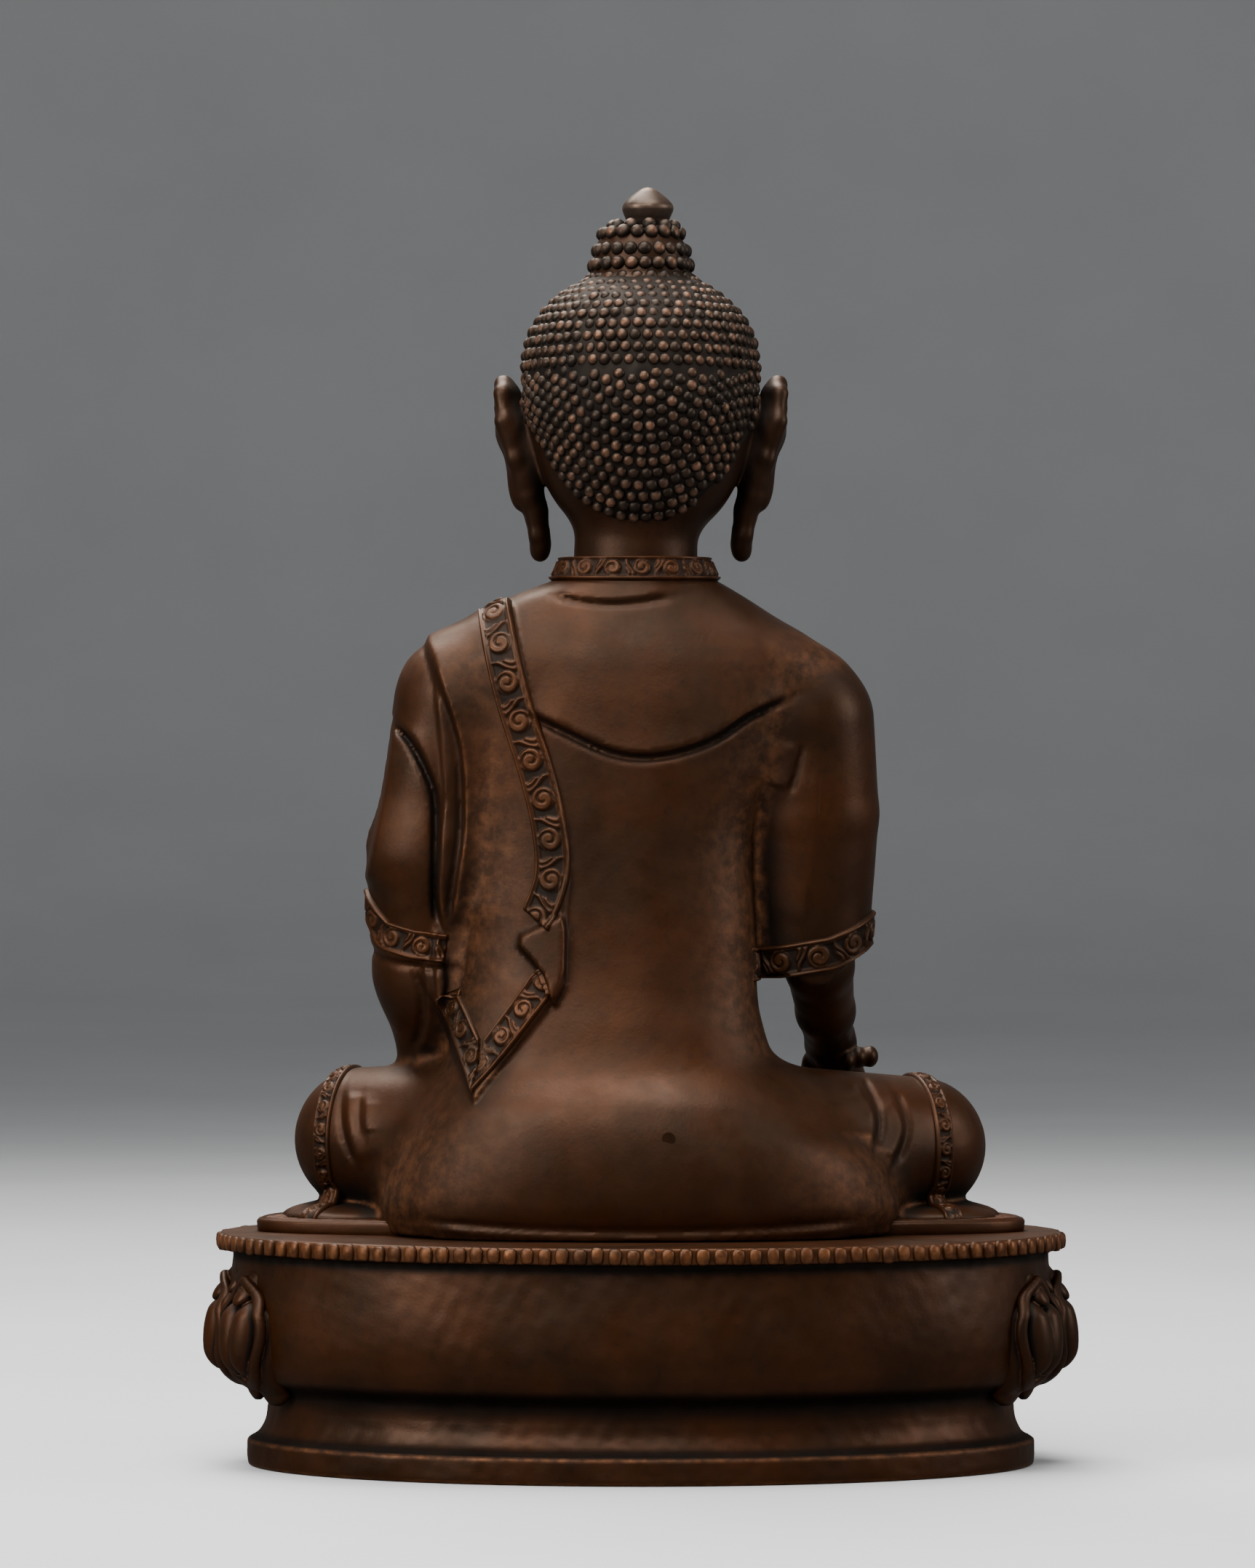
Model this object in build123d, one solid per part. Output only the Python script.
from build123d import *
import math
import os

# Seated Buddha statue, cast in copper in sections and pinned together: a hollow lotus pedestal closed
# by a base plate, a hollow figure on a thin seat mat, a head set in the collar, two forearms set in the
# sleeves, a finial on the crown of the head and an alms bowl that lifts out of the left hand.
# Inside lie a wooden life tree and rolled mantras.
# Frame: +Z up, the figure faces -Y, its right hand is on -X, and Z = 0 is the surface it stands on.

# ---------------------------------------------------------------- driving dimensions, mm
WALL = 3.0  # thickness of the cast walls
GAP = 0.05  # clearance between pieces that are pinned or wedged together

# pedestal, from the foot up. Each ring is a half width (X) and a half depth (Y)
RIM = (73.1, 48.8)
FOOT_HEIGHT = 4.6
WAIST_HEIGHT = 8.4
BODY_HEIGHT = 24.1
RIM_HEIGHT = 3.0
BULGE_HEIGHT = 10.0  # of the widest ring, above the waist
FOOT_INSET = 5.3  # how far each ring lies inside the rim
WAIST_INSET = 8.6
BULGE_INSET = 1.5
WALL_TOP_INSET = 2.7
TOP_THICKNESS = 3.4

# lotus petals round the front and sides
PETAL_COUNT = 15
PETAL_WIDTH = 15.2
PETAL_RELIEF = 3.8  # how far a petal stands out of the wall
PETAL_SINK = 1.2
PETAL_DROP = 2.9  # from the rim down to the petals' tips
PETAL_START = 20.0  # degrees behind the sides of the pedestal

# base plate in a rebate of the foot, held by lips that are raised over its edge
PLATE_INSET = 7.4  # inside the foot
PLATE_THICKNESS = 1.2
PLATE_RECESS = 1.0
LEDGE = 2.0
LIP_COUNT = 8
LIP_SIZE = (5.0, 2.6, 0.6)

# seat mat under the figure, and the lugs that hold the figure to the pedestal
MAT_INSET = 6.0  # inside the rim
MAT_THICKNESS = 2.3
LUG_WIDTH = 9.0
LUG_DEPTH = 3.0
LUG_X = 36.0
LUG_END = 2.0  # metal left below the wedge
WEDGE_RADIUS = 1.1
WEDGE_LENGTH = 9.0
FILL_HOLE = (27.0, 17.0)

# figure. Every height from here on is above the pedestal's top
TORSO = [  # height, centre in Y, half width, half depth
    (0.8, 4.0, 45.0, 29.5),
    (14.0, 5.0, 41.0, 30.0),
    (28.0, 9.0, 32.0, 23.0),
    (44.0, 10.0, 28.0, 17.5),
    (64.0, 9.0, 30.0, 15.0),
    (84.0, 7.5, 35.0, 15.5),
    (98.0, 6.5, 32.0, 14.0),
    (108.0, 6.0, 20.0, 12.6),
]
CAVITY_LIMIT = 19.0  # greatest half width of the hollow in the torso
SHOULDER = (31.5, 6.0, 89.0, 10.5)  # X, Y, height, radius
LEFT_ELBOW = (39.5, 6.0, 57.0, 8.0)
RIGHT_ELBOW = (32.0, 2.0, 56.0, 8.0)
LEFT_SLEEVE_END = (36.0, -1.0, 37.0, 7.4)
THIGH_ROOT = (19.0, 10.0, 14.5, 13.6)
KNEE = (47.6, -9.0, 14.3, 12.8)
SHIN = (46.0, -13.0, 12.4, 11.4)
RIGHT_ANKLE = (8.0, -30.0, 17.0, 7.0)
LEFT_ANKLE = (8.0, -26.0, 10.0, 8.6)
LEG_DEPTH = 1.5  # how deep the legs sink into the mat

# forearms, set into the sleeves
TENON_RADIUS = 4.2
TENON_LENGTH = 9.0
FOREARM_RADIUS = 5.6  # at the elbow
RIGHT_WRIST = (33.0, -21.0, 31.4, 4.0)
RIGHT_KNUCKLES = (36.0, -30.0, 24.0, 3.8)
RIGHT_FINGERTIPS = (38.0, -32.5, 7.0, 2.2)
LEFT_WRIST = (21.0, -27.0, 26.0, 3.8)
LEFT_PALM = (1.0, -31.0, 26.4, 3.6)
SLEEVE_PIN_RADIUS = 0.9
SLEEVE_PIN_LENGTH = 6.5

# neck and head
NECK_RADIUS = 10.7
SPIGOT_STEP = 1.5  # the spigot is this much thinner than the neck
SPIGOT_LENGTH = 7.1
NECK_Y = 5.0
COLLAR_TOP = 115.5
COLLAR_WALL = 2.4  # from the neck out to the edge of the collar
SKULL = (0.0, 3.0, 144.0)
SKULL_HALF = (20.4, 22.0, 22.4)
JAW = (0.0, -3.0, 133.5)
JAW_HALF = (14.5, 15.5, 16.0)
USHNISHA = [(160.0, 11.0), (164.0, 9.4), (169.0, 8.8), (173.1, 6.0)]  # height, radius
USHNISHA_Y = 4.0
EAR = (21.6, 1.0, 138.0)
EAR_HALF = (3.7, 4.6, 9.4)
LOBE_ROOT = (21.0, 1.0, 133.0, 2.9)
LOBE_TIP = (17.4, 1.0, 118.4, 2.2)
NECK_PIN_RADIUS = 1.0
NECK_PIN_BITE = 1.4  # how far a pin enters the spigot
NECK_PIN_LENGTH = 4.6

# finial on the crown, with a tenon below. Heights are above the crown
JEWEL_X = -1.2
JEWEL_TENON_RADIUS = 1.8
JEWEL_TENON_LENGTH = 4.0
JEWEL_STEM_RADIUS = 3.6
JEWEL_STEM_HEIGHT = 1.2
JEWEL_RADIUS = 4.4
JEWEL_WIDEST = 3.2
JEWEL_HEIGHT = 6.8

# alms bowl
BOWL_X = 0.0
BOWL_Y = -31.0
BOWL_REST = 0.1  # clearance between palm and bowl
BOWL_HEIGHT = 11.5
BOWL_FOOT = 4.2
BOWL_BELLY = 9.0
BOWL_BELLY_HEIGHT = 7.1
BOWL_MOUTH = 7.2
BOWL_WALL = 1.3

# what is inside
TREE_LIFT = 3.0  # foot of the life tree above the base plate
TREE_TOP = 156.0
TREE_FOOT_WIDTH = 4.6
TREE_TOP_WIDTH = 2.4
ROLL_RADIUS = 4.4
ROLL_CORE = 0.8
ROLL_LENGTH = 26.0
ROLL_SPACE = 0.3  # clearance round a roll
ROLLS_A_SIDE = 3
FIRST_ROLL_X = 24.0
TORSO_ROLL_X = 9.0
TORSO_ROLL_FOOT = 13.0

# plugs that close the holes of the core pins, on the back of the robe: X, height
CORE_PLUGS = [(-4.6, 17.5), (-5.2, 8.3)]
PLUG_RADIUS = 1.1
PLUG_LENGTH = 2.4


# ---------------------------------------------------------------- helpers
def inset(half, distance):
    """The half sizes of a ring that lies distance inside another."""
    return half[0] - distance, half[1] - distance


def oval(half, z, shift=0.0):
    """An ellipse of half sizes half, lying flat at height z."""
    return Pos(0, shift, z) * Ellipse(*half)


def slab(half, low, high, shift=0.0):
    """An elliptical disc from height low to height high."""
    return extrude(oval(half, low, shift), amount=high - low)


def ellipsoid(centre, half):
    """A ball scaled to three half sizes."""
    return Pos(*centre) * scale(Sphere(1), by=half)


def limb(start, end):
    """A tapered bar with round ends. Each end is X, Y, Z and the radius there."""
    first, last = Vector(*start[:3]), Vector(*end[:3])
    low, high = start[3], end[3]
    length = (last - first).length
    lean = math.asin((low - high) / length)
    half_low, half_high = (lean - math.pi / 2) / 2, (lean + math.pi / 2) / 2
    side = Line(
        (low * math.cos(lean), low * math.sin(lean)),
        (high * math.cos(lean), length + high * math.sin(lean)),
    )
    low_middle = (low * math.cos(half_low), low * math.sin(half_low))
    high_middle = (high * math.cos(half_high), length + high * math.sin(half_high))
    outline = [
        ThreePointArc((0, -low), low_middle, side @ 0),
        side,
        ThreePointArc(side @ 1, high_middle, (0, length + high)),
        Line((0, length + high), (0, -low)),
    ]
    profile = Plane.XZ * make_face(Curve() + outline)
    bar = revolve(profile, axis=Axis.Z)
    return Plane(origin=first, z_dir=last - first).location * bar


def mirrored(point):
    """The same place on the figure's right-hand side."""
    return (-point[0], *point[1:])


def widened(point, spare):
    """The same point with spare added to its radius."""
    return (*point[:3], point[3] + spare)


def rod(start, direction, radius, length):
    """A round bar that starts at a point and runs along a direction."""
    plane = Plane(origin=start, z_dir=direction)
    return plane.location * Cylinder(radius, length, align=(Align.CENTER, Align.CENTER, Align.MIN))


def half_space(z, side):
    """A block that holds everything above height z, or below it."""
    reach = 4 * RIM[0]
    return Pos(0, 0, z) * Box(reach, reach, reach, align=(Align.CENTER, Align.CENTER, side))


# ---------------------------------------------------------------- sizes worked out from the above
WAIST_TOP = FOOT_HEIGHT + WAIST_HEIGHT
RIM_UNDER = WAIST_TOP + BODY_HEIGHT
PEDESTAL_TOP = RIM_UNDER + RIM_HEIGHT
CEILING = PEDESTAL_TOP - TOP_THICKNESS
FOOT = inset(RIM, FOOT_INSET)
WAIST = inset(RIM, WAIST_INSET)
BULGE = inset(RIM, BULGE_INSET)
WALL_TOP = inset(RIM, WALL_TOP_INSET)
PLATE = inset(FOOT, PLATE_INSET)
PLATE_TOP = PLATE_RECESS + PLATE_THICKNESS
MAT = inset(RIM, MAT_INSET)
PEDESTAL_SHIFT = (BULGE[1] + PETAL_RELIEF - RIM[1]) / 2  # rim and petals then reach equally far
SPIGOT_RADIUS = NECK_RADIUS - SPIGOT_STEP
NECK_BORE = SPIGOT_RADIUS - WALL
COLLAR_RADIUS = NECK_RADIUS + COLLAR_WALL
NECK_FOOT = COLLAR_TOP - SPIGOT_LENGTH
CROWN = USHNISHA[-1][0]
BOWL_BASE = LEFT_PALM[2] + LEFT_PALM[3] + BOWL_REST


# ---------------------------------------------------------------- pedestal
def petal_places():
    """Places for the petals, evenly spaced by arc length along the bulge: X, Y and turn in degrees."""
    first, last = math.radians(180 - PETAL_START), math.radians(360 + PETAL_START)
    steps = 720
    angles = [first + (last - first) * i / steps for i in range(steps + 1)]
    along = [0.0]
    for low, high in zip(angles, angles[1:]):
        dx = BULGE[0] * (math.cos(high) - math.cos(low))
        dy = BULGE[1] * (math.sin(high) - math.sin(low))
        along.append(along[-1] + math.hypot(dx, dy))
    places = []
    for i in range(PETAL_COUNT):
        wanted = along[-1] * i / (PETAL_COUNT - 1)
        nearest = min(range(steps + 1), key=lambda k: abs(along[k] - wanted))
        angle = angles[nearest]
        turn = math.degrees(math.atan2(math.sin(angle) / BULGE[1], math.cos(angle) / BULGE[0]))
        places.append((BULGE[0] * math.cos(angle), BULGE[1] * math.sin(angle), turn))
    return places


def make_petals():
    """The row of petals, each a bulb that is sunk into the wall."""
    half_height = (BODY_HEIGHT - PETAL_DROP) / 2
    half = (PETAL_RELIEF + PETAL_SINK, PETAL_WIDTH / 2, half_height)
    petals = []
    for x, y, turn in petal_places():
        bulb = Rot(0, 0, turn) * ellipsoid((-PETAL_SINK, 0, 0), half)
        petals.append(Pos(x, y, WAIST_TOP + half_height) * bulb)
    return petals


def make_lips():
    """The burrs that are raised over the edge of the base plate."""
    lips = []
    for i in range(LIP_COUNT):
        angle = 2 * math.pi * (i + 0.5) / LIP_COUNT
        x, y = PLATE[0] * math.cos(angle), PLATE[1] * math.sin(angle)
        turn = math.degrees(math.atan2(PLATE[0] * math.sin(angle), PLATE[1] * math.cos(angle)))
        lip = Box(*LIP_SIZE, align=(Align.CENTER, Align.CENTER, Align.MAX))
        lips.append(Pos(x, y, PLATE_RECESS - GAP) * Rot(0, 0, turn + 90) * lip)
    return lips


def pedestal_cavity():
    """The hollow of the pedestal, from the base plate's ledge up to the ceiling."""
    ledge = inset(PLATE, LEDGE)
    return loft(
        [
            oval(ledge, -1),
            oval(ledge, WAIST_TOP),
            oval(inset(BULGE, 2 * WALL), WAIST_TOP + BULGE_HEIGHT),
            oval(inset(WALL_TOP, WALL + 1), CEILING),
        ]
    )


def make_pedestal():
    """The hollow lotus pedestal: foot, waist, bulging wall with petals, and the top with its rim."""
    wall = loft(
        [
            oval(inset(WAIST, -0.6), WAIST_TOP - 0.4),
            oval(inset(BULGE, 2.2), WAIST_TOP + 3.0),
            oval(BULGE, WAIST_TOP + BULGE_HEIGHT),
            oval(WALL_TOP, RIM_UNDER + 0.2),
        ]
    )
    waist = loft([oval(inset(WAIST, -1.0), FOOT_HEIGHT - 0.2), oval(WAIST, WAIST_TOP)])
    foot = slab(FOOT, 0, FOOT_HEIGHT)
    foot = fillet(foot.edges().sort_by(Axis.Z)[-1], FOOT_HEIGHT / 4)
    rim = slab(RIM, RIM_UNDER, PEDESTAL_TOP)
    rim = fillet(rim.edges(), RIM_HEIGHT / 3)
    body = foot + waist + wall + rim
    for petal in make_petals():
        body += petal
    body -= pedestal_cavity()
    body -= slab(inset(PLATE, -GAP), -1, PLATE_TOP + GAP)
    for lip in make_lips():
        body += lip
    body = Pos(0, PEDESTAL_SHIFT, 0) * body
    body -= slab(FILL_HOLE, CEILING - 1, PEDESTAL_TOP + 1, NECK_Y)
    for side in (-1, 1):
        slot = Box(LUG_WIDTH + 2 * GAP, LUG_DEPTH + 2 * GAP, 3 * TOP_THICKNESS)
        body -= Pos(side * LUG_X, 0, PEDESTAL_TOP) * slot
    return body


def make_base_plate():
    """The sheet that closes the pedestal from below."""
    return slab(PLATE, PLATE_RECESS, PLATE_TOP, PEDESTAL_SHIFT)


# ---------------------------------------------------------------- joins between the castings
def sleeve_direction(elbow):
    """The direction in which a forearm's tenon enters its sleeve, from the elbow up to the shoulder."""
    side = math.copysign(SHOULDER[0], elbow[0])
    return Vector(side - elbow[0], SHOULDER[1] - elbow[1], SHOULDER[2] - elbow[2]).normalized()


def sleeve_tenon(elbow, spare):
    """The round tenon of a forearm, or with spare its socket in the sleeve."""
    up = sleeve_direction(elbow)
    start = Vector(*elbow[:3]) - up * (elbow[3] + 1)
    return rod(start, up, TENON_RADIUS + spare, elbow[3] + 1 + TENON_LENGTH + spare)


def sleeve_pins(spare=0.0):
    """One pin through each sleeve into the forearm's tenon, from the back."""
    pins = []
    for elbow in (LEFT_ELBOW, mirrored(RIGHT_ELBOW)):
        middle = Vector(*elbow[:3]) + sleeve_direction(elbow) * (TENON_LENGTH * 0.6)
        start = middle + Vector(0, TENON_RADIUS / 4 - spare, 0)
        pins.append(rod(start, (0, 1, 0), SLEEVE_PIN_RADIUS + spare, SLEEVE_PIN_LENGTH + 2 * spare))
    return pins


def neck_pins(spare=0.0):
    """Two pins that go in from the sides of the collar, into the head's spigot."""
    height = COLLAR_TOP - SPIGOT_LENGTH / 2
    pins = []
    for side in (-1, 1):
        start = (side * (SPIGOT_RADIUS - NECK_PIN_BITE - spare), NECK_Y, height)
        pins.append(rod(start, (side, 0, 0), NECK_PIN_RADIUS + spare, NECK_PIN_LENGTH + 2 * spare))
    return pins


def lug_wedges(spare=0.0):
    """A pin through each lug of the figure, tight under the pedestal's ceiling."""
    height = -TOP_THICKNESS - WEDGE_RADIUS - GAP
    wedges = []
    for side in (-1, 1):
        start = (side * LUG_X, -WEDGE_LENGTH / 2 - spare, height)
        wedges.append(rod(start, (0, 1, 0), WEDGE_RADIUS + spare, WEDGE_LENGTH + 2 * spare))
    return wedges


def core_plugs(spare=0.0):
    """Small round plugs in the back of the robe, where the core pins were."""
    back = TORSO[1][1] + TORSO[1][3]
    plugs = []
    for x, height in CORE_PLUGS:
        start = (x, back - PLUG_LENGTH - spare, height)
        plugs.append(rod(start, (0, 1, 0), PLUG_RADIUS + spare, PLUG_LENGTH + 2 * spare))
    return plugs


# ---------------------------------------------------------------- figure
def make_lugs():
    """Two tongues below the mat that reach through the pedestal's top."""
    length = TOP_THICKNESS + 2 * WEDGE_RADIUS + LUG_END
    lug = Box(LUG_WIDTH, LUG_DEPTH, length + 1, align=(Align.CENTER, Align.CENTER, Align.MIN))
    return [Pos(side * LUG_X, 0, -length) * lug for side in (-1, 1)]


def figure_outside():
    """Torso, collar, sleeves, crossed legs, seat mat and lugs as one solid."""
    rings = [oval((a, b), z, y) for z, y, a, b in TORSO]
    collar = oval((COLLAR_RADIUS, COLLAR_RADIUS), COLLAR_TOP, NECK_Y)
    body = loft(rings + [collar])
    right_elbow = mirrored(RIGHT_ELBOW)
    limbs = [
        (SHOULDER, LEFT_ELBOW),
        (mirrored(SHOULDER), right_elbow),
        (LEFT_ELBOW, LEFT_SLEEVE_END),
        (THIGH_ROOT, KNEE),
        (mirrored(THIGH_ROOT), mirrored(KNEE)),
        (SHIN, mirrored(LEFT_ANKLE)),
        (mirrored(SHIN), RIGHT_ANKLE),
    ]
    for start, end in limbs:
        body += limb(start, end)
    body -= half_space(MAT_THICKNESS - LEG_DEPTH, Align.MAX)
    body += slab(MAT, 0, MAT_THICKNESS, PEDESTAL_SHIFT)
    for lug in make_lugs():
        body += lug
    return body


def figure_cavity():
    """The hollow of torso and thighs, above the mat and below the collar's socket."""
    cavity = loft([oval((min(a - WALL, CAVITY_LIMIT), b - WALL), z, y) for z, y, a, b in TORSO])
    root, knee = widened(THIGH_ROOT, -WALL), widened(KNEE, -WALL)
    cavity += limb(root, knee)
    cavity += limb(mirrored(root), mirrored(knee))
    cavity -= half_space(MAT_THICKNESS + 1, Align.MAX)
    return cavity - half_space(NECK_FOOT - 1, Align.MIN)


def make_figure():
    """The hollow casting of the seated body, with its sockets and pin holes."""
    body = figure_outside() - figure_cavity()
    body -= slab(FILL_HOLE, -1, MAT_THICKNESS + 2, NECK_Y)
    body -= rod((0, NECK_Y, NECK_FOOT), (0, 0, 1), SPIGOT_RADIUS + GAP, 2 * SPIGOT_LENGTH)
    body -= rod((0, NECK_Y, NECK_FOOT - 2), (0, 0, 1), NECK_BORE, 2 * SPIGOT_LENGTH)
    body -= right_forearm_bars(GAP)
    body -= left_forearm_bars(GAP)
    for hole in lug_wedges(GAP) + sleeve_pins(GAP) + neck_pins(GAP) + core_plugs(GAP):
        body -= hole
    return body


# ---------------------------------------------------------------- forearms
def arm_bars(elbow, joints, spare):
    """A tenon in the sleeve, then bars from the elbow to each joint. With spare, the room they need."""
    arm = sleeve_tenon(elbow, spare)
    foot = Vector(*elbow[:3]) - sleeve_direction(elbow) * (elbow[3] + FOREARM_RADIUS)
    points = [(foot.X, foot.Y, foot.Z, FOREARM_RADIUS)] + joints
    for start, end in zip(points, points[1:]):
        arm += limb(widened(start, spare), widened(end, spare))
    return arm


def right_forearm_bars(spare=0.0):
    """Down over the knee, with the fingers reaching towards the mat."""
    joints = [mirrored(point) for point in (RIGHT_WRIST, RIGHT_KNUCKLES, RIGHT_FINGERTIPS)]
    return arm_bars(mirrored(RIGHT_ELBOW), joints, spare)


def left_forearm_bars(spare=0.0):
    """Forward to the lap, with the open palm under the bowl."""
    return arm_bars(LEFT_ELBOW, [LEFT_WRIST, LEFT_PALM], spare)


def make_forearm(bars):
    """A forearm and hand, with the hole for its sleeve's pin."""
    for pin in sleeve_pins(GAP):
        bars -= pin
    return bars


# ---------------------------------------------------------------- head
def make_head():
    """Skull, jaw, ears, crown and neck: one hollow casting with a spigot below."""
    head = ellipsoid(SKULL, SKULL_HALF) + ellipsoid(JAW, JAW_HALF)
    head += rod((0, NECK_Y, COLLAR_TOP + GAP), (0, 0, 1), NECK_RADIUS, SKULL[2] - COLLAR_TOP)
    head += rod((0, NECK_Y, NECK_FOOT + GAP), (0, 0, 1), SPIGOT_RADIUS, SKULL[2] - COLLAR_TOP)
    head += loft([Pos(0, USHNISHA_Y, z) * Circle(radius) for z, radius in USHNISHA])
    for side in (-1, 1):
        head += ellipsoid((side * EAR[0], EAR[1], EAR[2]), EAR_HALF)
        root = (side * LOBE_ROOT[0], *LOBE_ROOT[1:])
        tip = (side * LOBE_TIP[0], *LOBE_TIP[1:])
        head += limb(root, tip)
    head -= ellipsoid(SKULL, tuple(half - WALL for half in SKULL_HALF))
    head -= rod((0, NECK_Y, NECK_FOOT - 1), (0, 0, 1), NECK_BORE, SKULL[2] - NECK_FOOT)
    socket = (JEWEL_X, USHNISHA_Y, CROWN - JEWEL_TENON_LENGTH - GAP)
    head -= rod(socket, (0, 0, 1), JEWEL_TENON_RADIUS + GAP, JEWEL_TENON_LENGTH + 1)
    for pin in neck_pins(GAP):
        head -= pin
    return head


def make_finial():
    """The finial: a double cone on a short stem, with a tenon in the crown."""
    low = CROWN + GAP
    outline = [
        (0, CROWN - JEWEL_TENON_LENGTH),
        (JEWEL_TENON_RADIUS, CROWN - JEWEL_TENON_LENGTH),
        (JEWEL_TENON_RADIUS, low),
        (JEWEL_STEM_RADIUS, low),
        (JEWEL_STEM_RADIUS, CROWN + JEWEL_STEM_HEIGHT),
        (JEWEL_RADIUS, CROWN + JEWEL_WIDEST - 0.3),
        (JEWEL_RADIUS, CROWN + JEWEL_WIDEST + 0.3),
        (0, CROWN + JEWEL_HEIGHT),
    ]
    profile = Plane.XZ * make_face(Polyline(*outline, close=True))
    return Pos(JEWEL_X, USHNISHA_Y, 0) * revolve(profile, axis=Axis.Z)


# ---------------------------------------------------------------- bowl
def make_bowl():
    """A round alms bowl, turned hollow, with a mouth narrower than its belly."""
    top = BOWL_BASE + BOWL_HEIGHT
    belly = BOWL_BASE + BOWL_BELLY_HEIGHT
    floor = BOWL_BASE + BOWL_WALL
    inner_foot = BOWL_FOOT - BOWL_WALL
    outline = [
        Line((0, BOWL_BASE), (BOWL_FOOT, BOWL_BASE)),
        Spline((BOWL_FOOT, BOWL_BASE), (BOWL_BELLY, belly), (BOWL_MOUTH, top)),
        Line((BOWL_MOUTH, top), (BOWL_MOUTH - BOWL_WALL, top)),
        Spline((BOWL_MOUTH - BOWL_WALL, top), (BOWL_BELLY - BOWL_WALL, belly), (inner_foot, floor)),
        Line((inner_foot, floor), (0, floor)),
        Line((0, floor), (0, BOWL_BASE)),
    ]
    profile = Plane.XZ * make_face(Curve() + outline)
    return Pos(BOWL_X, BOWL_Y, 0) * revolve(profile, axis=Axis.Z)


# ---------------------------------------------------------------- filling
def make_life_tree():
    """A tapered square pole of wood from the pedestal up into the head."""
    foot = Pos(0, NECK_Y, PLATE_TOP + TREE_LIFT - PEDESTAL_TOP) * Rectangle(TREE_FOOT_WIDTH, TREE_FOOT_WIDTH)
    top = Pos(0, NECK_Y, TREE_TOP) * Rectangle(TREE_TOP_WIDTH, TREE_TOP_WIDTH)
    return loft([foot, top])


def roll():
    """One mantra roll on its end: paper wound round a thin core hole."""
    return Cylinder(ROLL_RADIUS, ROLL_LENGTH) - Cylinder(ROLL_CORE, ROLL_LENGTH + 1)


def make_pedestal_rolls():
    """Rolls that lie along Y on the base plate, side by side."""
    z = PLATE_TOP + ROLL_RADIUS + ROLL_SPACE
    pitch = 2 * ROLL_RADIUS + 4 * ROLL_SPACE
    rolls = []
    for i in range(ROLLS_A_SIDE):
        for side in (-1, 1):
            x = side * (FIRST_ROLL_X + i * pitch)
            rolls.append(Pos(x, PEDESTAL_SHIFT, z) * Rot(90, 0, 0) * roll())
    return rolls


def make_torso_rolls():
    """Rolls that stand in the torso beside the life tree."""
    z = TORSO_ROLL_FOOT + ROLL_LENGTH / 2
    return [Pos(side * TORSO_ROLL_X, NECK_Y, z) * roll() for side in (-1, 1)]


# ---------------------------------------------------------------- output
def group(solids):
    """Several separate solids in one node."""
    return Compound(children=[piece.solids()[0] for piece in solids])


def write(name, shape):
    """Write one node's file."""
    export_step(shape, f"parts/{name}.step")


def main():
    os.makedirs("parts", exist_ok=True)
    standing = {
        "pedestal_casting": make_pedestal(),
        "base_plate": make_base_plate(),
        "pedestal_mantra_rolls": group(make_pedestal_rolls()),
    }
    seated = {  # modelled above the pedestal's top, and lifted onto it
        "figure_casting": make_figure(),
        "head_casting": make_head(),
        "right_forearm": make_forearm(right_forearm_bars()),
        "left_forearm": make_forearm(left_forearm_bars()),
        "crown_finial": make_finial(),
        "alms_bowl": make_bowl(),
        "neck_pins": group(neck_pins()),
        "sleeve_pins": group(sleeve_pins()),
        "lug_wedges": group(lug_wedges()),
        "core_plugs": group(core_plugs()),
        "life_tree": make_life_tree(),
        "torso_mantra_rolls": group(make_torso_rolls()),
    }
    for name, shape in standing.items():
        write(name, shape)
    for name, shape in seated.items():
        write(name, Pos(0, 0, PEDESTAL_TOP) * shape)


main()
